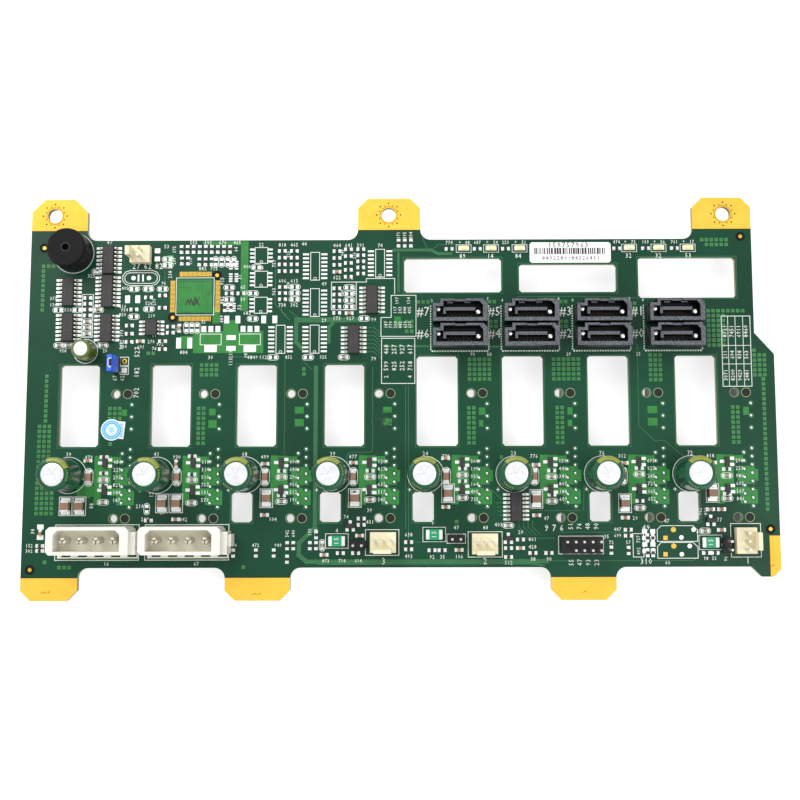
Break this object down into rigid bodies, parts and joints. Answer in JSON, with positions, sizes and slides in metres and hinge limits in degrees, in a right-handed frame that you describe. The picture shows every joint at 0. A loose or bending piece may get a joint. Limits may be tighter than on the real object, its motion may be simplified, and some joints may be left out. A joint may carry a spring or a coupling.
{
  "type": "drive backplane board",
  "caption": "Bare server drive backplane with tall cooling windows, rear drive receptacles, upright data ports, power inlets, capacitors and drilled mounting tabs.",
  "frame": {"origin": "centre of the overall length and depth, at the mating faces of the rear drive receptacles", "axes": "+X to the right along the length, +Y to the three drilled tabs, +Z out of the component side"},
  "size_m": [0.2336, 0.1254, 0.0264],
  "materials": {
    "laminate": "dark bluish green solder mask over glass-epoxy laminate, satin gloss",
    "gold_plate": "immersion gold over copper, soft sheen",
    "black_nylon": "moulded glass-filled nylon, fine matt",
    "gold_contact": "gold-flashed phosphor bronze",
    "white_nylon": "natural white nylon, slightly translucent",
    "cream_nylon": "natural cream nylon",
    "tinned_pin": "tin-plated brass",
    "green_sleeve": "shrink sleeve in dark green over an aluminium can",
    "small_sleeve": "shrink sleeve in olive green over an aluminium can",
    "buzzer_black": "moulded black, fine matt",
    "chip_epoxy": "moulded epoxy, matt",
    "tinned_lead": "tin-plated copper alloy",
    "ceramic_body": "fired tan ceramic with tinned ends",
    "fuse_green": "green coated laminate with tinned ends",
    "led_lens": "clear lens on a pale carrier",
    "shunt_blue": "moulded blue thermoplastic",
    "label_paper": "matt white film",
    "sticker_paper": "pale blue printed film"
  },
  "bodies": {
    "root": {"activity_header": "black_nylon", "bulk_capacitor_1": "green_sleeve", "bulk_capacitor_2": "green_sleeve", "bulk_capacitor_3": "green_sleeve", "bulk_capacitor_4": "green_sleeve", "bulk_capacitor_5": "green_sleeve", "bulk_capacitor_6": "green_sleeve", "bulk_capacitor_7": "green_sleeve", "bulk_capacitor_8": "green_sleeve", "buzzer": "buzzer_black", "chip_1": "chip_epoxy", "chip_2": "chip_epoxy", "chip_3": "chip_epoxy", "chip_4": "chip_epoxy", "chip_5": "chip_epoxy", "chip_6": "chip_epoxy", "chip_7": "chip_epoxy", "chip_8": "chip_epoxy", "chip_9": "chip_epoxy", "chip_capacitors": "ceramic_body", "chip_leads": "tinned_lead", "data_port_0": "black_nylon", "data_port_1": "black_nylon", "data_port_2": "black_nylon", "data_port_3": "black_nylon", "data_port_4": "black_nylon", "data_port_5": "black_nylon", "data_port_6": "black_nylon", "data_port_7": "black_nylon", "data_port_contacts": "gold_contact", "drive_contacts": "gold_contact", "drive_receptacle_1": "black_nylon", "drive_receptacle_2": "black_nylon", "drive_receptacle_3": "black_nylon", "drive_receptacle_4": "black_nylon", "drive_receptacle_5": "black_nylon", "drive_receptacle_6": "black_nylon", "drive_receptacle_7": "black_nylon", "drive_receptacle_8": "black_nylon", "fan_header_1": "cream_nylon", "fan_header_2": "cream_nylon", "fan_header_3": "cream_nylon", "fan_jumper_1": "black_nylon", "fan_jumper_2": "black_nylon", "fan_jumper_3": "black_nylon", "fuses": "fuse_green", "gold_lands": "gold_plate", "header_pins": "gold_contact", "label": "label_paper", "mode_header": "black_nylon", "mode_shunt": "shunt_blue", "pcb": "laminate", "power_header_1": "white_nylon", "power_header_2": "white_nylon", "power_pins": "tinned_pin", "reset_header": "cream_nylon", "small_capacitor": "small_sleeve", "status_leds": "led_lens", "sticker": "sticker_paper", "transistors": "chip_epoxy"}
  },
  "joints": []
}
